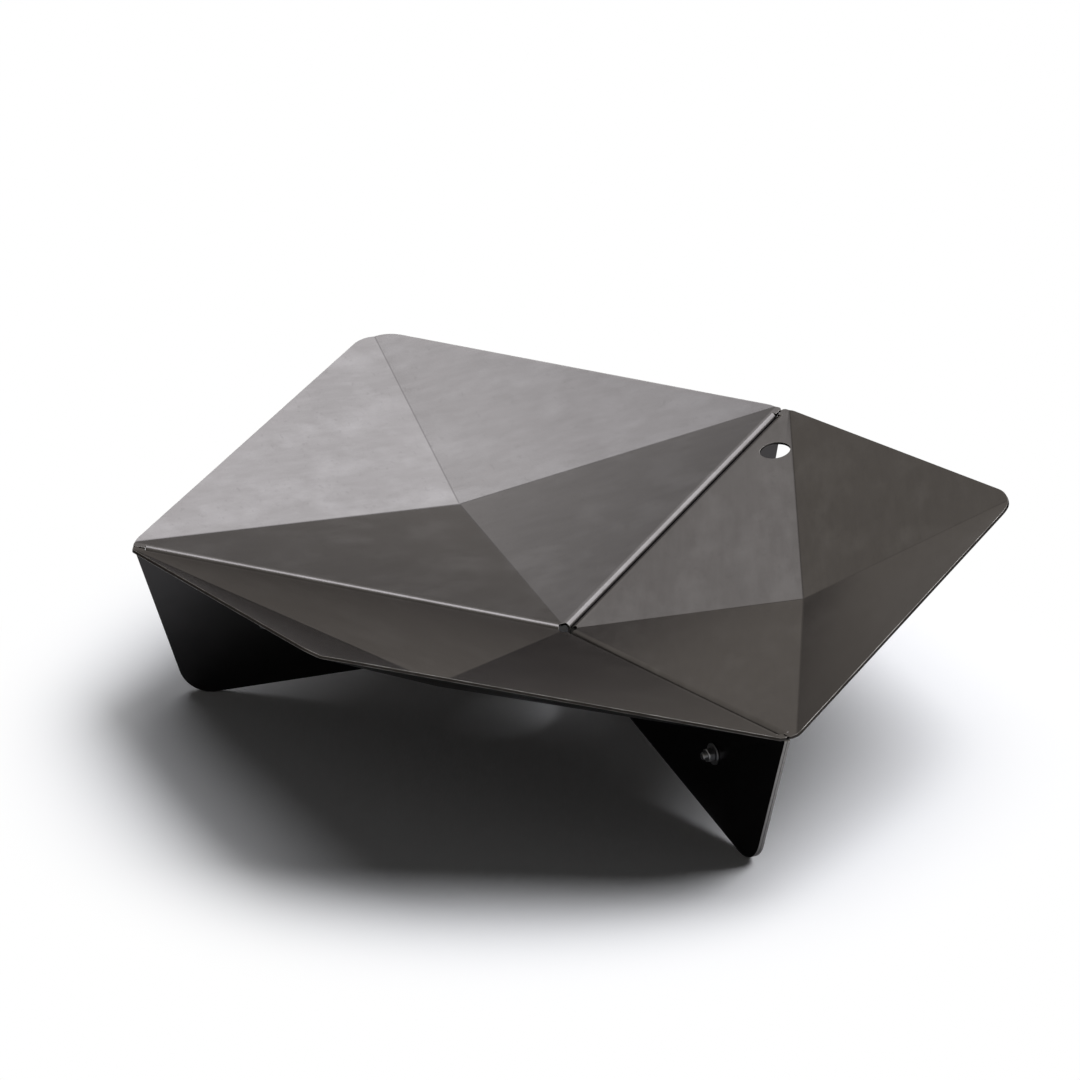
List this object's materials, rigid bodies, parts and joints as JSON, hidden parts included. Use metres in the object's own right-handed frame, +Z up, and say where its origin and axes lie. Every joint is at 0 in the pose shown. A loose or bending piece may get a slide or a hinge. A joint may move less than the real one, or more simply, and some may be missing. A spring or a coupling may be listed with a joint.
{
  "type": "fire bowl",
  "caption": "Low hexagonal fire bowl of folded raw steel panels; their seam flanges bolt together face to face to form the legs, with a round pole hole near one rim corner.",
  "frame": {"origin": "on the ground, under the middle of the bowl's bounding box", "axes": "+Z up, out of the bowl's mouth; +X towards the tip of the right panel, with the left leg at -X; -Y towards the viewer of the picture"},
  "size_m": [0.8909, 0.7882, 0.2388],
  "materials": {
    "raw_steel": "raw hot-rolled sheet with a thin oil film, cloudy and semi-gloss",
    "zinc_plated_steel": "zinc plated, satin"
  },
  "bodies": {
    "root": {"panel_right": "raw_steel", "panel_back": "raw_steel", "panel_front": "raw_steel", "bolt_back": "zinc_plated_steel", "bolt_left": "zinc_plated_steel", "bolt_front": "zinc_plated_steel", "nut_back": "zinc_plated_steel", "nut_left": "zinc_plated_steel", "nut_front": "zinc_plated_steel", "washer_back": "zinc_plated_steel", "washer_left": "zinc_plated_steel", "washer_front": "zinc_plated_steel"}
  },
  "joints": []
}
